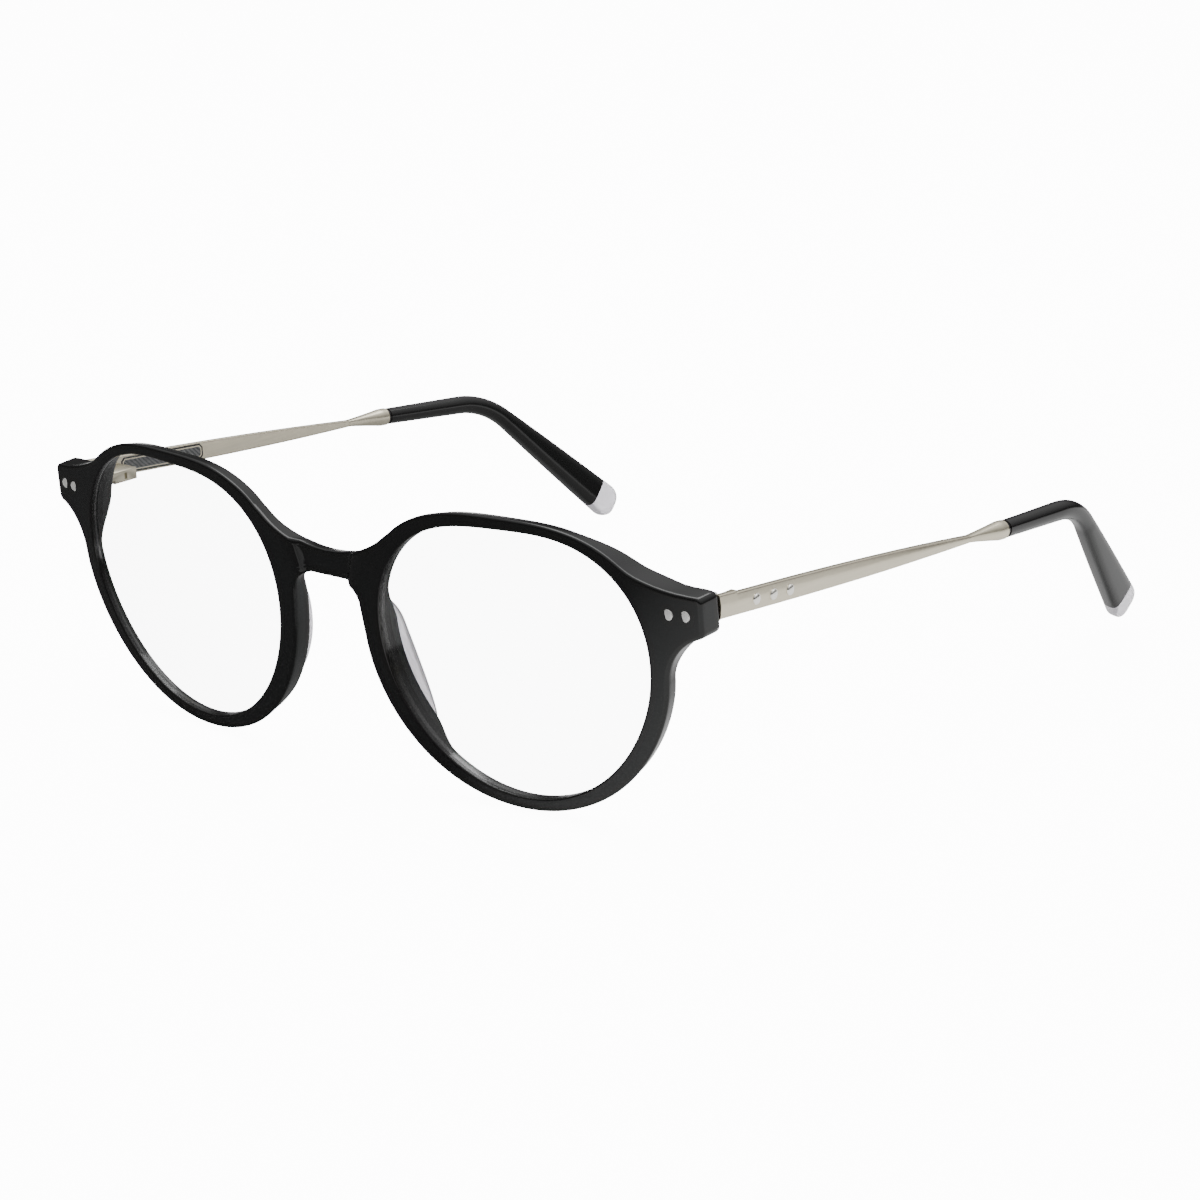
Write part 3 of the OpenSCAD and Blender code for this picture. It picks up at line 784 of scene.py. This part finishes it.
def turn_x(a):
    return np.array([[1, 0, 0], [0, math.cos(a), -math.sin(a)], [0, math.sin(a), math.cos(a)]])


def turn_z(a):
    return np.array([[math.cos(a), -math.sin(a), 0], [math.sin(a), math.cos(a), 0], [0, 0, 1]])


TIP_FRAME = turn_z(TIP_TURN) @ turn_x(-math.pi / 2 - ARM_FALL) @ turn_z(BEND_LEAN)


def tip_ring(s):
    """The sleeve's ring at a distance from the collar."""
    bend_len = BEND_R * BEND_TURN
    turned_by = min(1, max(0, (s - BEND_AT) / bend_len)) * BEND_TURN
    rest = max(0, s - BEND_AT - bend_len)
    centre = np.array([0, BEND_R * (1 - math.cos(turned_by)), min(s, BEND_AT)
                       + BEND_R * math.sin(turned_by)])
    ahead = np.array([0, math.sin(turned_by), math.cos(turned_by)])
    down = np.array([0, math.cos(turned_by), -math.sin(turned_by)])
    centre = centre + ahead * rest
    if s < BEND_AT:
        wide = TIP_START + (TIP_BEND - TIP_START) * s / BEND_AT
    else:
        wide = TIP_BEND + (TIP_END - TIP_BEND) * (rest / TIP_STRAIGHT) ** 0.95
    thick = min(TIP_HALF_T, wide)
    square = 2 + 1.5 * ease(s, BEND_AT, BEND_AT + bend_len + 18)
    left = BEND_AT + bend_len + TIP_STRAIGHT - s
    if left < END_ROUND:
        close = max(0.0, 1 - ((END_ROUND - left) / END_ROUND) ** 2.4) ** (1 / 2.4)
        wide, thick = wide * max(close, 0.03), thick * max(close, 0.03) ** 0.8
    if s < 0.5:
        wide = thick = TIP_START - 0.12
    p = 2 / square
    across = thick * np.sign(np.cos(t)) * np.abs(np.cos(t)) ** p
    over = wide * np.sign(np.sin(t)) * np.abs(np.sin(t)) ** p
    ring = centre + across[:, None] * np.array([1, 0, 0]) + over[:, None] * down
    ring = ring @ TIP_FRAME.T
    return on_temple(ring[:, 0] + ARM_U + ARM_T / 2, ring[:, 1] + COLLAR_AT,
                     ring[:, 2] + arm_middle(COLLAR_AT))


tip_len = BEND_AT + BEND_R * BEND_TURN + TIP_STRAIGHT
border = tip_len - CLEAR_LEN
tip = swept("tip_black_left", [tip_ring(s) for s in np.concatenate(
    [[0.0, 0.49, 0.51, 0.7], np.linspace(1.2, border, 70)])])
end = swept("tip_clear_left", [tip_ring(s) for s in np.concatenate(
    [np.linspace(border + 0.01, tip_len - END_ROUND, 6), tip_len - END_ROUND
     + END_ROUND * np.sin(np.linspace(0.1, math.pi / 2 - 0.02, 16))])])
# the right pieces are copied from the left ones after those are finished and tagged with their
# body
for side in ("left", "right"):
    black = tip if side == "left" else other_side(tip, "tip_black_right")
    clear = end if side == "left" else other_side(end, "tip_clear_right")
    done(black, "temple_" + side, "black_acetate", BLACK, "temple_tip_" + side, angle=50)
    done(clear, "temple_" + side, "clear_acetate", CRYSTAL, "tip_end_" + side, angle=50)
    wire = nodes["core_wire_" + side]
    wire.data.materials.clear()
    wire.data.materials.append(SATIN)

# ---------------------------------------------------------------------------
# TABLE, LIGHT AND CAMERA. A white table in an even white room; in reflections the table carries a
# painted shade on the viewer's side.
bpy.ops.mesh.primitive_plane_add(size=6, location=(0, 0, -0.0002))
floor = bpy.context.object
floor.name = "table"
WHITE = 12.0                     # radiance at which the view shows white
m, n, l, b = material("white_table")
m.cycles.emission_sampling = "NONE"
b.inputs["Base Color"].default_value = (0.9, 0.9, 0.9, 1)
b.inputs["Emission Color"].default_value = (1, 1, 1, 1)
polished(n, l, b, 0.8, 0.1, 20, 200, 0.05)
# seen directly, or through a clear piece, it is bright white; anything that mirrors it sees a
# white table at the back and a painted shade on the viewer's side, where the table's colour is
# made dark to stand for a dark studio
path, bounced, seen = (n.new(t) for t in ("ShaderNodeLightPath", "ShaderNodeMath",
                                          "ShaderNodeMapRange"))
l.new(path.outputs["Glossy Depth"], bounced.inputs[0])
l.new(path.outputs["Diffuse Depth"], bounced.inputs[1])
seen.inputs["To Min"].default_value, seen.inputs["To Max"].default_value = WHITE, 0.0
l.new(bounced.outputs[0], seen.inputs["Value"])
l.new(seen.outputs["Result"], b.inputs["Emission Strength"])
# painted shade: in reflections the table's colour drops from 0.9 to as low as 0.06 on the
# viewer's side (low y) and on the low-x side, standing for a dark studio
place, split, far = (n.new(t) for t in ("ShaderNodeTexCoord", "ShaderNodeSeparateXYZ",
                                        "ShaderNodeMapRange"))
l.new(place.outputs["Object"], split.inputs[0])
l.new(split.outputs["Y"], far.inputs["Value"])
for k, v in (("From Min", -0.06), ("From Max", 0.12), ("To Min", 0.06), ("To Max", 0.5)):
    far.inputs[k].default_value = v
near, painted_mirror_shade = n.new("ShaderNodeMapRange"), n.new("ShaderNodeMath")
l.new(split.outputs["X"], near.inputs["Value"])
for k, v in (("From Min", 0.015), ("From Max", 0.05), ("To Min", 0.06), ("To Max", 0.9)):
    near.inputs[k].default_value = v
painted_mirror_shade.operation = "MAXIMUM"
l.new(far.outputs["Result"], painted_mirror_shade.inputs[0])
l.new(near.outputs["Result"], painted_mirror_shade.inputs[1])
tone = n.new("ShaderNodeMix")
tone.inputs["A"].default_value = 0.9
l.new(path.outputs["Glossy Depth"], tone.inputs["Factor"])
l.new(painted_mirror_shade.outputs[0], tone.inputs["B"])
l.new(tone.outputs["Result"], b.inputs["Base Color"])
floor.data.materials.append(m)

world = bpy.data.worlds.new("room")
bpy.context.scene.world = world
world.use_nodes = True
n, l = world.node_tree.nodes, world.node_tree.links
back = n["Background"]
back.inputs["Color"].default_value = (1, 1, 1, 1)
place = n.new("ShaderNodeTexCoord")
facing = n.new("ShaderNodeVectorMath")
facing.operation = "DOT_PRODUCT"
facing.inputs[1].default_value = (0.1, 0.15, 1)
l.new(place.outputs["Generated"], facing.inputs[0])
level = n.new("ShaderNodeMapRange")
for k, v in (("From Min", 0.25), ("From Max", 1.0), ("To Min", 0.05), ("To Max", 1.4)):
    level.inputs[k].default_value = v
l.new(facing.outputs["Value"], level.inputs["Value"])
# beyond the table's edge, what is seen directly or through a lens is as white as the table
path, direct, unmirrored, shown = (n.new(t) for t in ("ShaderNodeLightPath", "ShaderNodeMath",
                                                      "ShaderNodeMath", "ShaderNodeMapRange"))
unmirrored.operation, unmirrored.use_clamp = "SUBTRACT", True
l.new(path.outputs["Is Camera Ray"], direct.inputs[0])
l.new(path.outputs["Is Transmission Ray"], direct.inputs[1])
l.new(direct.outputs[0], unmirrored.inputs[0])
l.new(path.outputs["Glossy Depth"], unmirrored.inputs[1])
l.new(unmirrored.outputs[0], shown.inputs["Value"])
l.new(level.outputs["Result"], shown.inputs["To Min"])
shown.inputs["To Max"].default_value = WHITE
l.new(shown.outputs["Result"], back.inputs["Strength"])

LAMP_AT, LAMP_SIZE, LAMP_POWER = (-0.1, 0.2, 0.9), 0.8, 9
bpy.ops.object.light_add(type="AREA", location=LAMP_AT)
lamp = bpy.context.object
lamp.name = "overhead"
lamp.data.energy, lamp.data.size = LAMP_POWER, LAMP_SIZE
lamp.rotation_euler = (-Vector(LAMP_AT)).to_track_quat("-Z", "Y").to_euler()

AZIMUTH, ELEVATION, ROLL = (math.radians(v) for v in (42.70, 17.17, -3.006))
CAMERA_AT, FOCAL_LENGTH, SENSOR = (383.0, -418.35, 185.86), 111.312, 36
right = np.array([math.cos(AZIMUTH), math.sin(AZIMUTH), 0])
toward = np.array([math.sin(AZIMUTH) * math.cos(ELEVATION),
                   -math.cos(AZIMUTH) * math.cos(ELEVATION), math.sin(ELEVATION)])
up = np.cross(toward, right)
cam_right = right * math.cos(ROLL) + up * math.sin(ROLL)
cam_up = -right * math.sin(ROLL) + up * math.cos(ROLL)
bpy.ops.object.camera_add()
camera = bpy.context.object
spot = np.array(CAMERA_AT) * MM
turn = np.eye(4)
turn[:3, 0], turn[:3, 1], turn[:3, 2], turn[:3, 3] = cam_right, cam_up, toward, spot
camera.matrix_world = Matrix(turn.tolist())
camera.data.sensor_width = SENSOR
camera.data.lens = FOCAL_LENGTH
bpy.context.scene.camera = camera
